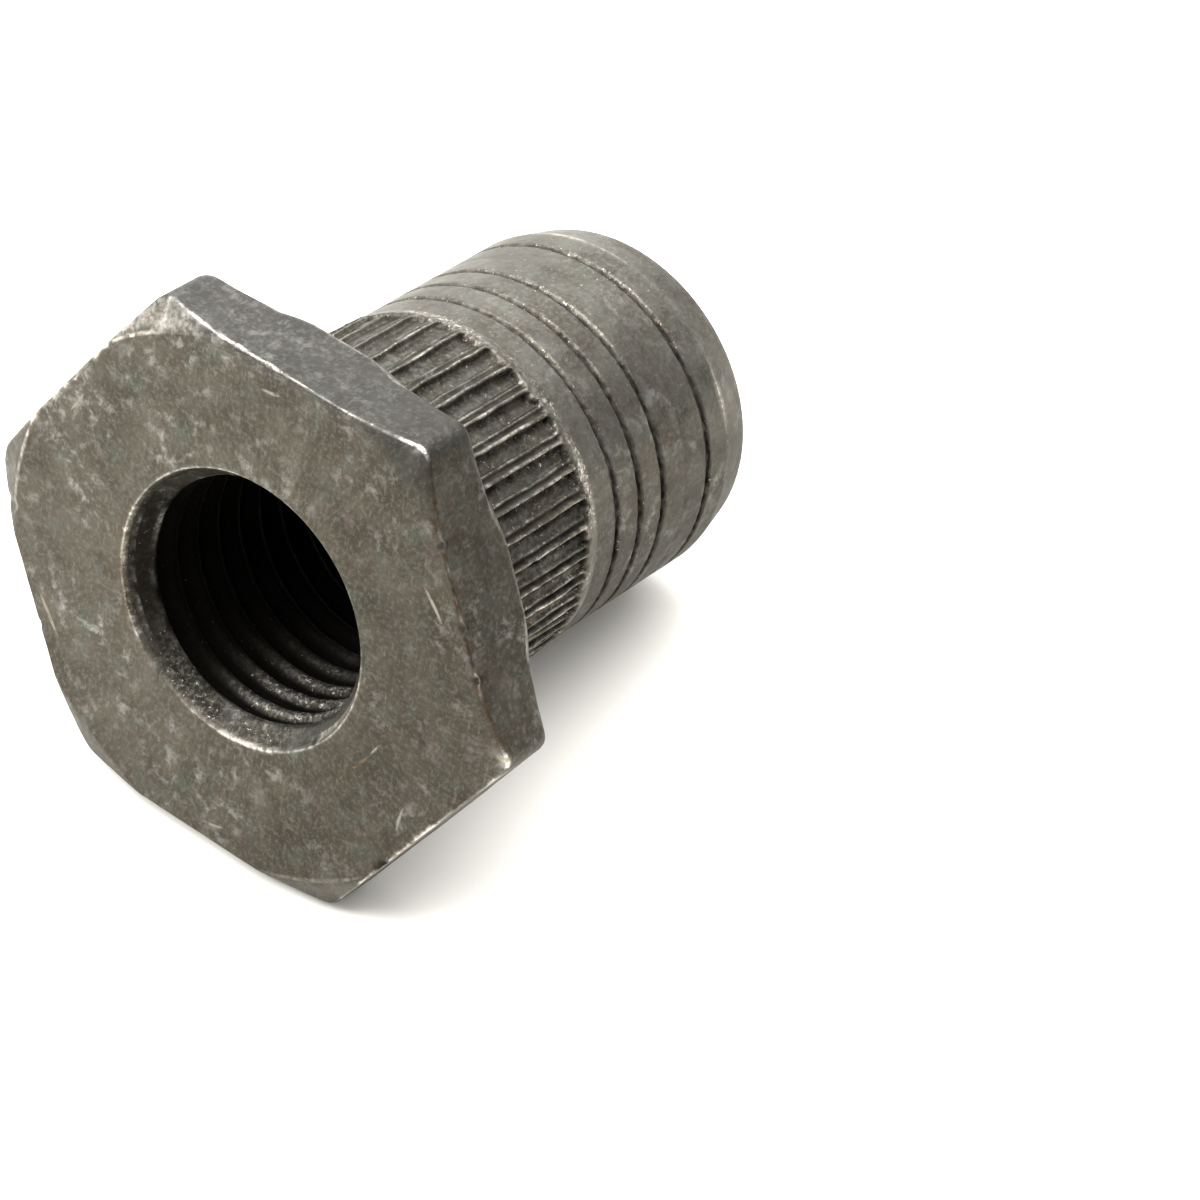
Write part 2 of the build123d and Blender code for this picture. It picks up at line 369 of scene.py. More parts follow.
def make_head():
    """The head's surface from the mouth's step, over the rim and the outer face, down the
    chamfered corners and the sides, and over the seat's edge to the seat. Its columns stand at
    t + 0.45 sin(6t) / 6, closer at the corners."""
    even = np.arange(HEAD_COLUMNS) * 2 * np.pi / HEAD_COLUMNS
    angle = even + 0.45 / 6 * np.sin(6 * even)
    side = side_radius(angle)
    nicks, ragged = head_damage(angle, cylindrical(angle, side, 0))
    corners = head_corners(angle, side, nicks, ragged)
    at_corner = ramp(side, 9.45, 10.1)
    rounding, bareness = round_the_nut(angle, CHAMFER_EDGE)
    chamfer_wear = bareness * at_corner
    soft = at_corner[:, None]
    roundings = (
        0.05, 0.1 + rounding[:, None] * soft, 0.07 + 0.1 * soft, 0.05 + 0.18 * soft, 0.03, 0.05,
    )
    steps = (
        (0.0, 0.5), (0.012, 0.03, 0.35, 0.65, 0.965, 0.99), (0.25, 0.6), (0.02, 0.07, 0.5, 0.88, 0.96),
        (), (), (0.35, 0.97),
    )
    rows = soften(corners, roundings, steps)
    radius, height = rows[..., 0], rows[..., 1]
    points = cylindrical(angle, radius, height)

    rim, front_edge = corners[RIM], corners[FRONT_EDGE]
    rust = 0.95 * near(rows, front_edge, 0.15) * facing(angle, 62, 30, 22)
    rust += 0.8 * near(rows, rim, 0.15) * facing(angle, 255, 35, 15)
    rust += 0.5 * near(rows, front_edge, 0.08) * facing(angle, 245, 55, 40)
    cone = ramp(radius, MOUTH_RADIUS + 0.01, MOUTH_RADIUS - 0.05)
    front_bare_and_highlight, = round_the_nut(angle, FRONT_EDGE_BARE_AND_HIGHLIGHT)
    grains_and_glints = 0.55 * near(rows, front_edge, 0.1) * np.clip(front_bare_and_highlight, 0, 1)
    grains_and_glints += cone * countersink_glints(angle) + 0.6 * near(rows, rim, 0.08) * facing(angle, 255, 40, 20)
    # Painted shade: the head darker towards +y.
    dirt_and_shade = 0.15 * ramp(points[..., 1], 0, 8) + 0.9 * near(rows, front_edge, 0.2) * np.clip(nicks * 5, 0, 1)
    dirt_and_shade += countersink_shade(angle) * ramp(radius, MOUTH_RADIUS + 0.01, MOUTH_STEP_RADIUS)
    chamfer = ramp(radius, 9.5, 9.75) * ramp(height, 0.55, 0.3) * ramp(chamfer_wear, 0.05, 0.2)
    # Painted light: the outer face lighter towards -y, and the corner at 30 degrees lighter.
    face = ramp(points[..., 1], 6, -8) * ramp(height, 0.4, 0.1)
    lit_corner = ramp(radius, 9.3, 9.6) * around(angle, 30, 9) * (height < 0.5)
    polish_and_light = 0.1 * ramp(height, 0.4, 0.7) + 0.8 * chamfer + 0.25 * face + 0.5 * lit_corner
    return {
        "points": points, "angle": angle, "grains_and_glints": grains_and_glints,
        "wear_and_highlight": head_wear_and_highlights(angle, side, corners, rows, points, chamfer_wear),
        "dirt_and_shade": np.clip(dirt_and_shade, 0, 1), "polish_and_light": polish_and_light + cone * countersink_light(angle),
        "rust": np.clip(rust, 0, 1),
    }


# ---- Knurl ----------------------------------------------------------------------------------

def shank_polish_and_light(angle):
    """How polished the shank is round it, with painted light on its lit side and painted shade on the
    side turned to the floor.
    """
    return round_the_nut(angle, SHANK_POLISH_AND_LIGHT)[0]


def bright_spots(angle, heights, spot):
    """Rubbed patches and painted highlights, exp(-(turn / half width)² - (height / half height)²)
    with a broken edge.
    """
    total = 0
    for middle, height, half_width, half_height in BRIGHT_SPOTS:
        total = total + around(angle, middle, half_width) * hill(heights, height, half_height)
    return 0.16 * total * np.clip(0.6 + 0.8 * grain(spot, 0.6, 36), 0, 1)


def knurl_radius(angle, heights, place, depth, spot, stretched):
    """Distance from the axis to the knurl: the lips' radius less each column's depth, with ragged
    and broken lips and a rough floor, and a burr where the channels close. The channels are full
    deep from 30 degrees round to 190, and shallower on the other side."""
    open_channel = 1 - ramp(heights, KNURL_END - 0.14, KNURL_END + 0.03)
    crest = np.interp(heights, (KNURL_END - 0.2, KNURL_END + 0.5), (CREST_RADIUS, SHANK_RADIUS))
    shallow = 0.64 + 0.36 * ramp(turned(angle, 10), -35, 20)
    ragged = 0.045 * grain(spot, 0.3, 23) + 0.05 * grain(spot, 0.9, 24) - 0.02
    ragged = hill(place, FIRST_LIP_PLACE, 0.05) * ragged
    broken = hill(place, SECOND_LIP_PLACE, 0.04) * 0.08 * np.clip(grain(spot, 0.8, 26) + 0.35, 0, 1)
    rough_floor = (0.045 * grain(spot, 0.3, 25) + 0.025 * grain(stretched, 0.6, 30)) * (depth > 0.22)
    radius = crest + (ragged - broken + rough_floor - depth * shallow) * open_channel
    burr = 0.035 * np.clip(grain(spot, 0.16, 27) + 0.2, 0, 1) * hill(heights, KNURL_END + 0.18, 0.18)
    return np.minimum(radius, CREST_RADIUS + 0.005) + burr


def make_knurl():
    """The knurl from the seat to the plain shank. Each column keeps its own depth below the lips
    along the channel, waves a little sideways, and near the closed end turns in along the
    corner's arc, by R - sqrt(R² - s²) with s the way into the last R of the channel."""
    tooth = np.repeat(np.arange(TOOTH_COUNT), len(ACROSS_TOOTH))
    place, depth, turn_in, darkening = (np.tile(column, TOOTH_COUNT) for column in ACROSS_TOOTH.T)
    closed_end = np.array([-0.3, -0.2, -0.13, -0.08, -0.04, 0.0, 0.05, 0.1, 0.17, 0.25, 0.34, 0.42, 0.5])
    heights = np.concatenate([
        [HEAD_THICKNESS, HEAD_THICKNESS + 0.03, 3.5],
        np.linspace(3.9, KNURL_END - 0.45, 24),
        KNURL_END + closed_end,
    ])[:, None]
    angle = FIRST_TOOTH_ANGLE + (tooth * TOOTH_PITCH + place) / CREST_RADIUS
    spot = cylindrical(angle, CREST_RADIUS, heights)
    stretched = cylindrical(angle, CREST_RADIUS, heights * 0.5)
    open_channel = 1 - ramp(heights, KNURL_END - 0.14, KNURL_END + 0.03)
    run_out = 1 - ramp(heights, KNURL_END, RUNOUT_END)

    into_end = np.clip(heights - (KNURL_END - CHANNEL_CORNER_RADIUS), 0, CHANNEL_CORNER_RADIUS)
    arc = CHANNEL_CORNER_RADIUS - np.sqrt(np.maximum(CHANNEL_CORNER_RADIUS**2 - into_end**2, 0))
    towards = -np.sign(place % TOOTH_PITCH - 0.5 * TOOTH_PITCH)
    inward = towards * np.minimum(arc, MOST_TURN_IN) * turn_in * run_out
    wave = (0.03 * grain(stretched, 0.6, 21) + 0.025 * grain(spot, 0.4, 22)) * run_out
    early = 0.21 * np.random.default_rng(37).uniform(-1, 0.8, TOOTH_COUNT)[tooth] * hill(place, 0.42, 0.3)
    points = cylindrical(
        angle + (inward + wave) / CREST_RADIUS,
        knurl_radius(angle, heights, place, depth, spot, stretched),
        heights + early * ramp(heights, KNURL_END - 1.5, KNURL_END - 0.4) * run_out,
    )

    # Painted shade: the channels are darker on the side turned down, away from the light.
    shade_by_side = 0.26 + 0.46 * ramp(turned(angle, 10), -35, 35) + 0.15 * ramp(turned(angle, 65), -12, 12)
    shade_by_side = shade_by_side + 0.3 * grain(spot, 0.3, 31)
    darkening = np.clip(darkening + 0.2 * ramp(turned(angle, 60), -30, 20), 0, 1)
    # Painted shade at the channels' closed ends.
    dirt_and_shade = (darkening * shade_by_side + 0.6 * hill(heights, KNURL_END - 0.06, 0.09) * (depth > 0.2)) * open_channel
    first_lip, second_lip = hill(place, FIRST_LIP_PLACE, 0.05), hill(place, SECOND_LIP_PLACE, 0.04)
    first = np.clip(0.17 + 0.5 * grain(stretched, 0.45, 28) + 0.55 * grain(spot, 0.2, 32), 0.02, 0.9)
    first = first_lip * first * (0.5 + 0.5 * ramp(turned(angle, 10), -35, 10))
    second = second_lip * np.clip(-0.05 + 0.5 * grain(spot, 0.3, 29), 0.0, 0.4)
    ends = 0.1 * hill(heights, KNURL_END + 0.2, 0.18) * np.clip(grain(spot, 0.9, 34) + 0.3, 0, 1)
    wear_and_highlight = (first + second) * open_channel + ends + bright_spots(angle, heights, spot)
    grains_and_glints = (0.6 * first_lip + 0.5 * second_lip + 0.25 * (depth > 0.2)) * open_channel
    grains_and_glints += 1.1 * hill(heights, KNURL_END + 0.25, 0.26) * np.clip(0.6 + 0.8 * grain(spot, 1.2, 38), 0, 1)
    return {
        "points": points, "angle": angle, "wear_and_highlight": np.clip(wear_and_highlight, 0, 1), "dirt_and_shade": np.clip(dirt_and_shade, 0, 1),
        "polish_and_light": np.maximum(ramp(heights, KNURL_END - 0.05, KNURL_END + 0.3), 0.35) * shank_polish_and_light(angle),
        "rust": (0.4 * ramp(grain(spot, 1.7, 35), 0.4, 0.8) + 0.35 * hill(place, 0.25, 0.1)) * open_channel,
        "grains_and_glints": grains_and_glints,
    }


# ---- Shank ----------------------------------------------------------------------------------

def groove_rings(angle, number, offsets):
    """The rings of one groove: height, depth, rubbed edge and dirt. It is a vee with a small flat
    floor, 1.5 × (1 - |offset| / half width) of its depth but no deeper than that, whose edges
    wander and are burred, and which shallows out here and there."""
    middle, share = GROOVES[number]
    along = grain(cylindrical(angle, SHANK_RADIUS, 9.0 * number), 2.4, 40)
    depth = GROOVE_DEPTH * share * (0.3 + 0.7 * ramp(along, -0.8, -0.3))
    rings = []
    for offset in offsets:
        spot = cylindrical(angle, SHANK_RADIUS, middle + 3 * offset)
        wander = 0.035 * grain(spot, 0.16, 41 + number) * (abs(offset) < 0.2)
        vee = np.minimum(np.clip(1 - abs(offset) / GROOVE_HALF_WIDTH, 0, 1) * 1.5, 1)
        burr = 0.09 * np.clip(grain(spot, 0.15, 51 + number) - 0.1, 0, 1) * hill(abs(offset), 0.16, 0.04)
        rubbed = np.clip(0.7 + 0.9 * grain(spot, 0.9, 66 + number), 0, 1)
        edge = share * hill(abs(offset), 0.15, 0.05) * rubbed
        packed = np.clip(0.8 + 0.5 * grain(spot, 0.2, 76 + number), 0, 1)
        darkening = share * min(1, 1.6 * hill(offset, 0, 0.11)) * packed
        rings.append((middle + offset + wander, (vee - burr) * depth, edge, darkening))
    return rings


def shank_rings(angle):
    """Height, depth, rubbed edge and dirt of the shank's rings, each as (ring, column), from the
    knurl's run-out to the start of the end chamfer's rounding. The scratched groove has fewer
    rings than the others."""
    rings = []
    last = RUNOUT_END + 0.06
    for number, (middle, share) in enumerate(GROOVES):
        gap = middle + GROOVE_OFFSETS[0] - last
        rings += [(last + gap * step, 0, 0, 0) for step in ((0.5,) if number else (0.0, 0.35, 0.7))]
        offsets = GROOVE_OFFSETS if share > 0.5 else GROOVE_OFFSETS[2:-2]
        rings += groove_rings(angle, number, offsets)
        last = middle + offsets[-1]
    rings += [(last + (CHAMFER_START - 0.2 - last) * step, 0, 0, 0) for step in (0.35, 0.75)]
    return np.array([np.broadcast_arrays(*ring, angle)[:4] for ring in rings]).transpose(1, 0, 2)


def make_shank():
    """The shank from the knurl's run-out over the ring grooves and the end chamfer to the tail
    countersink."""
    angle = np.arange(SHANK_COLUMNS) * 2 * np.pi / SHANK_COLUMNS
    heights, depths, edges, dirts = shank_rings(angle)
    grooved = len(heights)
    corners = profile(angle, (
        (SHANK_RADIUS, CHAMFER_START - 0.2),
        (SHANK_RADIUS, CHAMFER_START),
        (END_RADIUS, OVERALL_LENGTH),
        (TAIL_MOUTH_RADIUS, OVERALL_LENGTH),
        (CREST_BORE_RADIUS + 0.27, OVERALL_LENGTH - 0.3),
    ))
    end = soften(corners, (0.4, 0.14, 0.06), ((0.0,), (0.15, 0.5, 0.85), (0.15, 0.85), (0.5,)))
    rows = np.concatenate([np.stack([SHANK_RADIUS - depths, heights], axis=-1), end])
    radius, height = rows[..., 0], rows[..., 1]
    spot = cylindrical(angle, radius, height)
    uneven = (0.008 * grain(spot, 1.3, 61) + 0.004 * grain(spot, 0.4, 64)) * (radius > SHANK_RADIUS - 0.3)
    uneven[0] = 0
    points = cylindrical(angle, radius + uneven, height)

    # Painted highlight along the start of the end chamfer, brightest at -14 and 60 degrees.
    lit_start = np.clip(0.5 * around(angle, -14, 16) + 0.5 * around(angle, 60, 8) + 0.1, 0, 1)
    lit_start = lit_start * np.clip(0.7 + 0.6 * grain(points, 0.8, 63), 0, 1)
    wear_and_highlight = 1.5 * hill(height, CHAMFER_START, 0.05) * lit_start + bright_spots(angle, height, points)
    wear_and_highlight[grooved:] += 0.4 * near(end, corners[2], 0.07)
    # Painted shade: darker on the side at 96 degrees, turned to the shadowed floor, and in the grooves more
    # so around 70 degrees.
    dirt_and_shade = 0.7 * ramp(radius, TAIL_MOUTH_RADIUS, TAIL_MOUTH_RADIUS - 0.2) + 0.22 * facing(angle, 96, 45, 20)
    dirt_and_shade[:grooved] += (0.74 + 0.14 * facing(angle, 70, 60, 30)) * dirts
    rust = 0.35 * ramp(grain(points, 2.5, 65), 0.35, 0.8) * ramp(height, RUNOUT_END, RUNOUT_END + 0.8)
    rust[:grooved] = np.maximum(rust[:grooved], 0.45 * edges)
    # Painted glints: more on the lit side near -15 degrees, and along the groove edges.
    grains_and_glints = np.tile(0.08 + 0.14 * facing(angle, -15, 60, 30), (len(rows), 1))
    grains_and_glints[:grooved] += 0.42 * edges * (0.4 + 0.6 * facing(angle, 100, 30, 90))
    return {
        "points": points, "angle": angle, "wear_and_highlight": np.clip(wear_and_highlight, 0, 1), "dirt_and_shade": np.clip(dirt_and_shade, 0, 1),
        "polish_and_light": shank_polish_and_light(angle), "rust": rust, "grains_and_glints": grains_and_glints,
    }


# ---- Bore -----------------------------------------------------------------------------------

def make_bore():
    """The bore's wall, on a grid that climbs with the thread by one pitch a turn. The thread has
    flat roots and crests and straight flanks of 60 degrees between them, and the wall is the
    thread or a countersink, whichever is wider."""
    angle = np.arange(BORE_COLUMNS) * 2 * np.pi / BORE_COLUMNS
    low = MOUTH_STEP_DEPTH + 0.05
    high = OVERALL_LENGTH - 0.34
    turns = np.arange(-ROWS_PER_THREAD, int((high - low) / THREAD_PITCH * ROWS_PER_THREAD) + 2)
    climbing = turns[:, None] / ROWS_PER_THREAD + angle / (2 * np.pi)
    heights = np.clip(low + climbing * THREAD_PITCH, low, high)
    phase = ((heights - FIRST_ROOT_HEIGHT) / THREAD_PITCH - angle / (2 * np.pi)) % 1
    thread = np.interp(np.minimum(phase, 1 - phase), THREAD_FLANK, (ROOT_BORE_RADIUS, CREST_BORE_RADIUS))
    started = ramp(heights, MOUTH_DEPTH - 0.1, MOUTH_DEPTH + 0.25)
    wall = CREST_BORE_RADIUS + (thread - CREST_BORE_RADIUS) * started
    mouth = np.interp(heights, (MOUTH_STEP_DEPTH, MOUTH_DEPTH), (MOUTH_STEP_RADIUS, CREST_BORE_RADIUS))
    tail_start = OVERALL_LENGTH - TAIL_MOUTH_DEPTH
    tail = np.interp(heights, (tail_start, OVERALL_LENGTH), (CREST_BORE_RADIUS, TAIL_MOUTH_RADIUS))
    radius = np.maximum(wall, np.maximum(mouth, tail))
    spot = cylindrical(angle, radius, heights)
    in_thread = ramp(heights, MOUTH_DEPTH - 0.05, MOUTH_DEPTH + 0.15)
    rough = (0.02 * grain(spot, 0.3, 71) + 0.015 * grain(spot, 0.9, 72)) * (0.25 + 0.75 * in_thread)
    radius = radius + rough * (heights > low) * (heights < high)

    # Painted light and shade in the thread: the mouth-facing flank of the first turns is painted light,
    # as if rubbed clean, most at 126 degrees where the light falls in, while the roots, the rest of the
    # way round and the deeper turns are painted black.
    painted_lit_flank = ramp(phase, 0.20, 0.42) * ramp(phase, 0.68, 0.58) * ramp(heights, 8, 1.5)
    painted_lit_flank = painted_lit_flank * facing(angle, 126, 85, 30)
    on_cone = 1 - in_thread
    wear_and_highlight = 0.25 * hill(heights, MOUTH_DEPTH, 0.06) * np.clip(0.5 + grain(spot, 0.5, 73), 0, 1)
    wear_and_highlight += 0.7 * hill(heights, MOUTH_DEPTH + 0.03, 0.07) * around(angle, 279, 5)
    return {
        "points": cylindrical(angle, radius, heights), "angle": angle, "wear_and_highlight": wear_and_highlight,
        "dirt_and_shade": countersink_shade(angle) * on_cone + (1 - painted_lit_flank) * in_thread,
        "polish_and_light": countersink_light(angle) * on_cone + 1.5 * painted_lit_flank * in_thread,
        "rust": 0.5 * facing(angle, 235, 40, 10) * hill(heights, 0.4, 0.35),
        "grains_and_glints": countersink_glints(angle) * on_cone + 1.2 * painted_lit_flank * ramp(heights, 8, 3) * in_thread,
    }


# ---- Joining --------------------------------------------------------------------------------

def ring_faces(rows, columns, first):
    """Quads between neighbouring rows of a grid that closes round the axis."""
    row, column = np.meshgrid(np.arange(rows - 1), np.arange(columns), indexing="ij")
    here = first + row * columns + column
    beside = first + row * columns + (column + 1) % columns
    return np.stack([here, beside, beside + columns, here + columns], axis=-1).reshape(-1, 4)


def stitch(angles_a, angles_b, first_a, first_b):
    """Triangles between two rings whose points stand at different angles: going round, each next
    point of either ring makes a triangle with the last point of both."""
    turned_a, turned_b = angles_a % (2 * np.pi), angles_b % (2 * np.pi)
    order_a, order_b = np.argsort(turned_a), np.argsort(turned_b)
    both = np.concatenate([turned_a[order_a], turned_b[order_b]])
    order = np.argsort(both, kind="stable")
    from_b = (order >= len(angles_a)).astype(int)
    seen_a, seen_b = np.cumsum(1 - from_b), np.cumsum(from_b)
    last_a = first_a + order_a[(seen_a - (1 - from_b) - 1) % len(angles_a)]
    last_b = first_b + order_b[(seen_b - from_b - 1) % len(angles_b)]
    next_a = first_a + order_a[(seen_a - 1) % len(angles_a)]
    next_b = first_b + order_b[(seen_b - 1) % len(angles_b)]
    return np.stack([last_a, np.where(from_b, next_b, next_a), last_b], axis=-1)


def nut_axes():
    """The nut's own axes in the frame, from the places of the thread and of the press face: the
    middle of the head's outer face, and the X, Y and Z directions as a matrix's rows."""
    mounts = {mount["name"]: mount for mount in frame["record"]["mounts"]}
    along = np.array(mounts["thread"]["axis"])
    on_axis = np.array(mounts["thread"]["pos_m"])
    on_face = np.array(mounts["press_face"]["pos_m"])
    middle = on_axis + ((on_face - on_axis) @ along) * along
    across = np.array([1.0, 0.0, 0.0])
    return middle, np.array([np.cross(across, along), across, along])


def make_nut(middle, axes):
    """One closed mesh of the nut: head, knurl, shank and bore, stitched ring to ring."""
    parts = [make_head(), make_knurl(), make_shank(), make_bore()]
    sizes = [part["points"].shape[:2] for part in parts]
    firsts = np.cumsum([0] + [rows * columns for rows, columns in sizes])
    last_rings = [first + (rows - 1) * columns for (rows, columns), first in zip(sizes, firsts)]
    quads = [ring_faces(*size, first) for size, first in zip(sizes, firsts)]
    quads[3] = quads[3][:, ::-1]     # the bore's wall faces the axis
    head, knurl, shank, bore = (part["angle"] for part in parts)
    joints = [
        stitch(head, knurl, last_rings[0], firsts[1]),
        stitch(knurl, shank, last_rings[1], firsts[2]),
        stitch(shank, bore, last_rings[2], last_rings[3]),
        stitch(bore, head, firsts[3], firsts[0]),
    ]
    own = np.concatenate([part["points"].reshape(-1, 3) for part in parts])
    mesh = bpy.data.meshes.new("press_nut_surface")
    faces = np.concatenate(quads).tolist() + np.concatenate(joints).tolist()
    mesh.from_pydata((middle + MM * (own @ axes)).tolist(), [], faces)
    for name in ("wear_and_highlight", "dirt_and_shade", "polish_and_light", "rust", "grains_and_glints"):
        grids = [np.broadcast_to(part[name], size) for part, size in zip(parts, sizes)]
        values = np.concatenate([grid.ravel() for grid in grids]).astype(np.float32)
        mesh.attributes.new(name, "FLOAT", "POINT").data.foreach_set("value", values)
    work = bmesh.new()
    work.from_mesh(mesh)
    bmesh.ops.remove_doubles(work, verts=work.verts, dist=0.0002 * MM)
    bmesh.ops.dissolve_degenerate(work, edges=work.edges, dist=0.0001 * MM)
    work.to_mesh(mesh)
    work.free()
    mesh.polygons.foreach_set("use_smooth", np.ones(len(mesh.polygons), bool))
    nut = bpy.data.objects.new("press_nut_surface", mesh)
    bpy.context.scene.collection.objects.link(nut)
    return nut


# ---- Materials ------------------------------------------------------------------------------

def colour(code):
    """Linear colour from an sRGB hex code."""
    parts = np.array([int(code[i:i + 2], 16) / 255 for i in (1, 3, 5)])
    linear = np.where(parts <= 0.04045, parts / 12.92, ((parts + 0.055) / 1.055) ** 2.4)
    return (*linear, 1.0)


def add(owner, kind, inputs=(), **settings):
    """Adds a node to a material or world, sets its settings, and gives each input, by name or
    number, a value or another node's output. A node stands for its own first output."""
    tree = owner.node_tree
    node = tree.nodes.new(kind)
    for name, value in settings.items():
        setattr(node, name, value)
    for name, value in dict(inputs).items():
        if isinstance(value, bpy.types.Node):
            value = value.outputs[0]
        if isinstance(value, bpy.types.NodeSocket):
            tree.links.new(value, node.inputs[name])
        else:
            node.inputs[name].default_value = value
    return node


def patches(steel, place, size, low, high, detail=3.0, roughness=0.6, distortion=0.0):
    """Cloudy patches, the largest about `size` millimetres across: noise that is brought smoothly
    to 0 at `low` and to 1 at `high`."""
    cloud = add(steel, "ShaderNodeTexNoise", {
        "Vector": place, "Scale": 1 / size, "Detail": detail, "Roughness": roughness,
        "Distortion": distortion})
    return add(steel, "ShaderNodeMapRange", {"Value": cloud, 1: low, 2: high},
               interpolation_type="SMOOTHSTEP")


def coat(steel, tone, over, *shares):
    """A tone with another laid over it, by the product of the shares."""
    share = shares[0]
    for other in shares[1:]:
        share = add(steel, "ShaderNodeMath", {0: share, 1: other}, operation="MULTIPLY")
    return add(steel, "ShaderNodeMix", {0: share, 6: tone, 7: over}, data_type="RGBA").outputs[2]


def scratch(steel, own, mark):
    """1 on a bent scratch with soft ends: in the mark's own place, u along and v across it from
    -1 to 1, the scratch is where u² + (v + bend × u²)² is small."""
    x, y, lie, length, width, bend = mark
    laid = add(steel, "ShaderNodeMapping", {
        "Vector": own, "Location": (x, y, 0), "Rotation": (0, 0, np.radians(lie)),
        "Scale": (length / 2, width / 2, 1)}, vector_type="TEXTURE")
    along, across, _ = add(steel, "ShaderNodeSeparateXYZ", {0: laid}).outputs
    along = add(steel, "ShaderNodeMath", {0: along, 1: along}, operation="MULTIPLY")
    across = add(steel, "ShaderNodeMath", {0: along, 1: bend, 2: across}, operation="MULTIPLY_ADD")
    away = add(steel, "ShaderNodeMath", {0: across, 1: across, 2: along}, operation="MULTIPLY_ADD")
    return add(steel, "ShaderNodeMapRange", {"Value": away, 1: 1.0, 2: 0.1},
               interpolation_type="SMOOTHSTEP")


def oxide(steel, own, polish_and_light, blotches):
    """Brown-grey oxide, mottled over about a millimetre and thinner where it is polished and where light
    is painted, with faint reddish and greenish tints, and a painted cool light from above on the flat
    on +x."""
    x = add(steel, "ShaderNodeSeparateXYZ", {0: own}).outputs[0]
    tone = coat(steel, colour("#34312a"), colour("#4a463d"), blotches)
    browned = patches(steel, own, 2.4, 0.46, 0.66, detail=5.0, roughness=0.65)
    tone = coat(steel, tone, colour("#2b2720"), browned, 0.6)
    cloud = add(steel, "ShaderNodeTexNoise", {
        "Vector": own, "Scale": 1 / 1.8, "Detail": 5.0, "Roughness": 0.7})
    uneven = add(steel, "ShaderNodeMapRange", {"Value": cloud, 1: 0.36, 2: 0.64, 3: 0.14, 4: 0.52})
    tone = coat(steel, tone, colour("#74726b"), polish_and_light, uneven)
    tone = coat(steel, tone, colour("#5e5350"), patches(steel, own, 1.2, 0.50, 0.66), 0.25)
    tone = coat(steel, tone, colour("#4e5750"), patches(steel, own, 0.9, 0.52, 0.68), 0.25)
    # Painted light: the flat on +x, which faces up, gets the cooler tone of the light from above.
    flat = add(steel, "ShaderNodeMapRange", {"Value": x, 1: 8.7, 2: 9.1},
               interpolation_type="SMOOTHSTEP")
    return coat(steel, tone, colour("#434447"), flat, 0.35)


def knocks(steel, own, tone, polish_and_light):
    """Light smudges of 0.1 to 0.4 mm where parts knocked together, in clusters about 3 mm across,
    and fewer where the steel is polished, on the face towards +y and on the flat on +x. Over them
    lie grains of 0.16 mm and rubbed streaks 0.06 mm wide and half a millimetre long, two ways."""
    x, y, height = add(steel, "ShaderNodeSeparateXYZ", {0: own}).outputs
    across_face = add(steel, "ShaderNodeMapRange", {"Value": y, 1: -7.0, 2: 5.0, 3: 1.0, 4: 0.45})
    flat = add(steel, "ShaderNodeMapRange", {"Value": x, 1: 8.5, 2: 9.1},
               interpolation_type="SMOOTHSTEP")
    on_sides = add(steel, "ShaderNodeMath", {0: flat, 1: -0.4, 2: 0.9}, operation="MULTIPLY_ADD")
    calm = add(steel, "ShaderNodeMapRange", {
        "Value": height, 1: 0.3, 2: 0.6, 3: across_face, 4: on_sides})
    unpolished = add(steel, "ShaderNodeMath", {0: polish_and_light, 1: -0.25, 2: 0.85}, operation="MULTIPLY_ADD")
    smudges = patches(steel, own, 0.6, 0.48, 0.72, detail=5.0, roughness=0.74, distortion=0.25)
    clusters = patches(steel, own, 3.2, 0.36, 0.62)
    tone = coat(steel, tone, colour("#94958f"), smudges, clusters, unpolished, calm)
    tone = coat(steel, tone, colour("#78766e"), patches(steel, own, 0.16, 0.45, 0.75), 0.3)
    for lie, size in ((0.5, 0.5), (2.3, 0.7)):
        laid = add(steel, "ShaderNodeMapping", {
            "Vector": own, "Rotation": (0, 0, lie), "Scale": (1, 5, 1)})
        tone = coat(steel, tone, colour("#8a8880"), patches(steel, laid, size, 0.60, 0.76), 0.2)
    return tone


def paint_grains_and_glints(steel, own, tone, rust, grains_and_glints):
    """Bare grains under 0.1 mm painted as bright glints, brownish on rust, on gritty ground: more of
    them, and brighter, where grains_and_glints is higher."""
    ground = add(steel, "ShaderNodeMapRange", {"Value": grains_and_glints, 1: 0.1, 2: 0.5},
                 interpolation_type="SMOOTHSTEP")
    gritty = patches(steel, own, 0.16, 0.42, 0.66, detail=2.0, roughness=0.7)
    tone = coat(steel, tone, colour("#8d8a82"), gritty, ground, 0.3)
    cloud = add(steel, "ShaderNodeTexNoise", {
        "Vector": own, "Scale": 1 / 0.13, "Detail": 3.0, "Roughness": 0.75})
    grains = add(steel, "ShaderNodeMath", {0: grains_and_glints, 1: 0.2, 2: cloud}, operation="MULTIPLY_ADD")
    lit = add(steel, "ShaderNodeMapRange", {"Value": grains, 1: 0.67, 2: 0.79},
              interpolation_type="SMOOTHSTEP")
    strong = add(steel, "ShaderNodeMapRange", {"Value": grains_and_glints, 1: -0.2, 2: 0.3},
                 interpolation_type="SMOOTHSTEP")
    glint_colour = coat(steel, colour("#beb9af"), colour("#a8875a"), rust)
    return coat(steel, tone, glint_colour, lit, strong, patches(steel, own, 1.1, 0.30, 0.50, detail=2.0))


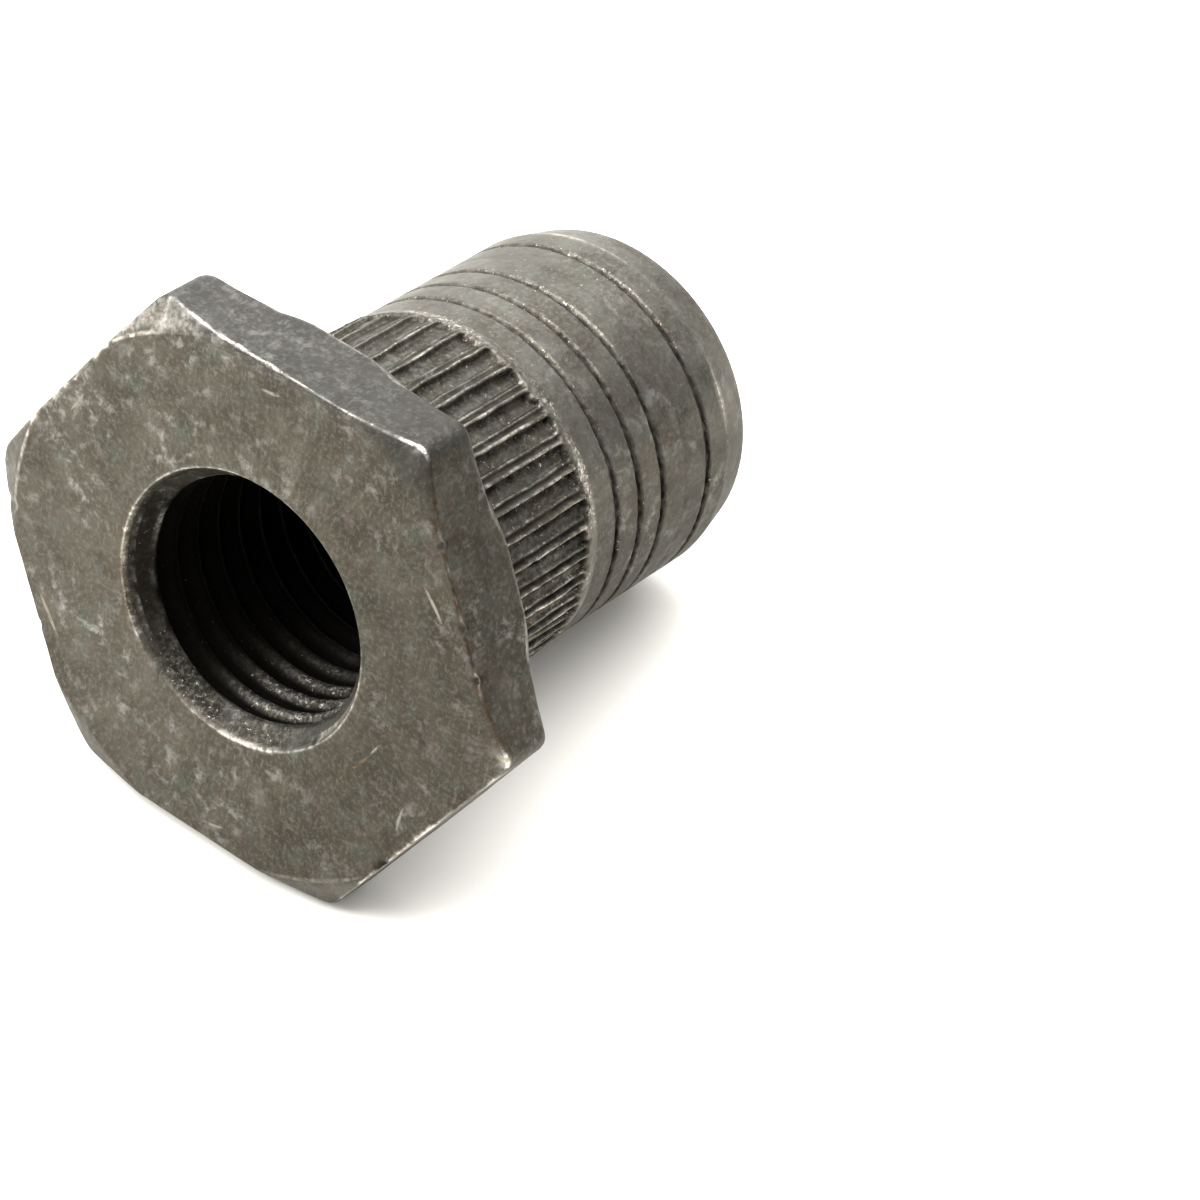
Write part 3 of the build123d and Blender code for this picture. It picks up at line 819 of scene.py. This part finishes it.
def face_scratches(steel, own, tone):
    """Scratches on the outer face only, broken over a quarter of a millimetre."""
    height = add(steel, "ShaderNodeSeparateXYZ", {0: own}).outputs[2]
    on_face = add(steel, "ShaderNodeMath", {0: height, 1: 0.3}, operation="LESS_THAN")
    marks = 0.0
    for mark in FACE_MARKS:
        found = scratch(steel, own, mark)
        marks = add(steel, "ShaderNodeMath", {0: found, 1: marks}, operation="MAXIMUM")
    tone = coat(steel, tone, colour("#7c786d"), marks, on_face, patches(steel, own, 0.25, 0.30, 0.55))
    broken = patches(steel, own, 0.35, 0.45, 0.58, detail=2.0)
    return coat(steel, tone, colour("#5f4f3d"), scratch(steel, own, RUST_SCRATCH), on_face, broken)


def make_steel(middle, axes):
    """Medium carbon steel, oxidised dark and tumbled: a dark, slightly brown grey metal with a dull
    sheen, light flecks where parts knocked together, and bare bright edges, with painted light, shade,
    highlights and glints laid into its colour."""
    steel = bpy.data.materials.new("tumbled_dark_oxide_steel")
    steel.use_nodes = True
    steel.node_tree.nodes.clear()
    place = add(steel, "ShaderNodeTexCoord").outputs["Object"]
    turn = Matrix(axes.tolist())
    shift = -(turn @ Vector(middle.tolist())) / MM
    own = add(steel, "ShaderNodeMapping", {      # the nut's own axes, in millimetres
        "Vector": place, "Location": shift, "Rotation": turn.to_euler(), "Scale": (1 / MM, 1 / MM, 1 / MM)})
    wear_and_highlight, dirt_and_shade, polish_and_light, rust, grains_and_glints = (
        add(steel, "ShaderNodeAttribute", attribute_name=name).outputs["Fac"]
        for name in ("wear_and_highlight", "dirt_and_shade", "polish_and_light", "rust", "grains_and_glints"))

    blotches = patches(steel, own, 1.3, 0.30, 0.70, detail=6.0, roughness=0.7)
    tone = knocks(steel, own, oxide(steel, own, polish_and_light, blotches), polish_and_light)
    # Brown rust, and black for dirt and painted shade.
    tone = coat(steel, tone, colour("#4c3c2c"), rust, patches(steel, own, 0.5, 0.42, 0.62, detail=4.0))
    tone = coat(steel, tone, colour("#090705"), dirt_and_shade, 0.98)
    tone = paint_grains_and_glints(steel, own, tone, rust, grains_and_glints)
    # Bare steel on rubbed edges, and bright painted highlights and reflections, broken in patches of
    # 0.2 mm.
    cloud = add(steel, "ShaderNodeTexNoise", {
        "Vector": own, "Scale": 1 / 0.2, "Detail": 3.0, "Roughness": 0.65})
    unbroken = add(steel, "ShaderNodeMapRange", {"Value": cloud, 1: 0.36, 2: 0.62, 3: 0.15, 4: 1.0})
    tone = coat(steel, tone, colour("#ece6da"), wear_and_highlight, unbroken)
    tone = face_scratches(steel, own, tone)

    # Duller on the paler blotches and in dirt and painted shade, with grit of 0.13 mm and shallow
    # dents of 0.7 mm.
    dull = add(steel, "ShaderNodeMath", {0: blotches, 1: 0.10, 2: 0.38}, operation="MULTIPLY_ADD")
    rough = add(steel, "ShaderNodeMath", {0: dirt_and_shade, 1: 0.4, 2: dull}, operation="MULTIPLY_ADD")
    fine = add(steel, "ShaderNodeTexNoise", {
        "Vector": own, "Scale": 1 / 0.13, "Detail": 3.0, "Roughness": 0.6})
    coarse = add(steel, "ShaderNodeTexNoise", {
        "Vector": own, "Scale": 1 / 0.7, "Detail": 2.0, "Roughness": 0.6})
    grit = add(steel, "ShaderNodeBump", {"Height": fine, "Strength": 0.6, "Distance": 0.02 * MM})
    dents = add(steel, "ShaderNodeBump", {
        "Height": coarse, "Normal": grit, "Strength": 0.6, "Distance": 0.06 * MM})
    surface = add(steel, "ShaderNodeBsdfPrincipled", {
        "Base Color": tone, "Roughness": rough, "Normal": dents, "Metallic": 0.95,
        "Specular Tint": (0.7, 0.7, 0.7, 1.0)})
    add(steel, "ShaderNodeOutputMaterial", {"Surface": surface})
    return steel


def make_card():
    """Matt white card: no gloss, a little warm."""
    card = bpy.data.materials.new("matt_white_card")
    card.use_nodes = True
    card.node_tree.nodes.clear()
    surface = add(card, "ShaderNodeBsdfPrincipled", {"Base Color": colour("#f5f2ec"), "Roughness": 0.9})
    add(card, "ShaderNodeOutputMaterial", {"Surface": surface})
    return card


# ---- Studio ---------------------------------------------------------------------------------

def make_floor(card):
    """A square sheet of card on height 0."""
    corners = [(x * FLOOR_REACH, y * FLOOR_REACH, 0) for x, y in ((-1, -1), (1, -1), (1, 1), (-1, 1))]
    mesh = bpy.data.meshes.new("floor")
    mesh.from_pydata(corners, [], [(0, 1, 2, 3)])
    mesh.materials.append(card)
    floor = bpy.data.objects.new("floor", mesh)
    bpy.context.scene.collection.objects.link(floor)


def make_light(name, place, size, power):
    """A square soft light that faces the nut."""
    light = bpy.data.lights.new(name, "AREA")
    light.size = size
    light.energy = power
    lamp = bpy.data.objects.new(name, light)
    lamp.location = place
    lamp.rotation_euler = Vector(place).to_track_quat("Z", "Y").to_euler()
    bpy.context.scene.collection.objects.link(lamp)


def make_world():
    """A white studio, brighter overhead and on the left than on the right."""
    world = bpy.data.worlds.new("white_studio")
    world.use_nodes = True
    world.node_tree.nodes.clear()
    way = add(world, "ShaderNodeTexCoord").outputs["Generated"]
    lean = add(world, "ShaderNodeVectorMath", {0: way, 1: BRIGHT_SIDE}, operation="DOT_PRODUCT")
    strength = add(world, "ShaderNodeMapRange", {
        "Value": lean.outputs["Value"], 1: -0.5, 2: 0.9, 3: DIM_STRENGTH, 4: BRIGHT_STRENGTH},
        interpolation_type="SMOOTHSTEP")
    light = add(world, "ShaderNodeBackground", {"Strength": strength})
    add(world, "ShaderNodeOutputWorld", {"Surface": light})
    bpy.context.scene.world = world


def make_camera():
    """A long lens, looking down on the head's outer face from its right."""
    lens = bpy.data.cameras.new("camera")
    lens.lens = 157.66
    lens.sensor_width = 36.0
    lens.clip_start, lens.clip_end = 0.01, 5.0
    camera = bpy.data.objects.new("camera", lens)
    right, up, back = (0.78759, 0.61158, 0.07531), (-0.47740, 0.52833, 0.70210), (0.38960, -0.58893, 0.70808)
    stand = Matrix((right, up, back)).transposed().to_4x4()
    stand.translation = Vector((73.87, -100.48, 128.87)) * MM
    camera.matrix_world = stand
    bpy.context.scene.collection.objects.link(camera)
    bpy.context.scene.camera = camera


middle, axes = nut_axes()
nut = make_nut(middle, axes)
nut.data.materials.append(make_steel(middle, axes))
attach(nut, "root")
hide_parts("press_nut")

make_camera()
make_world()
make_floor(make_card())
make_light("window", (-0.20, 0.30, 0.17), 0.25, 0.30)
make_light("overhead", (-0.025, -0.02, 0.175), 0.21, 0.68)
make_light("front_left", (-0.22, -0.28, 0.30), 0.15, 1.3)
bpy.context.scene.view_settings.view_transform = "Standard"
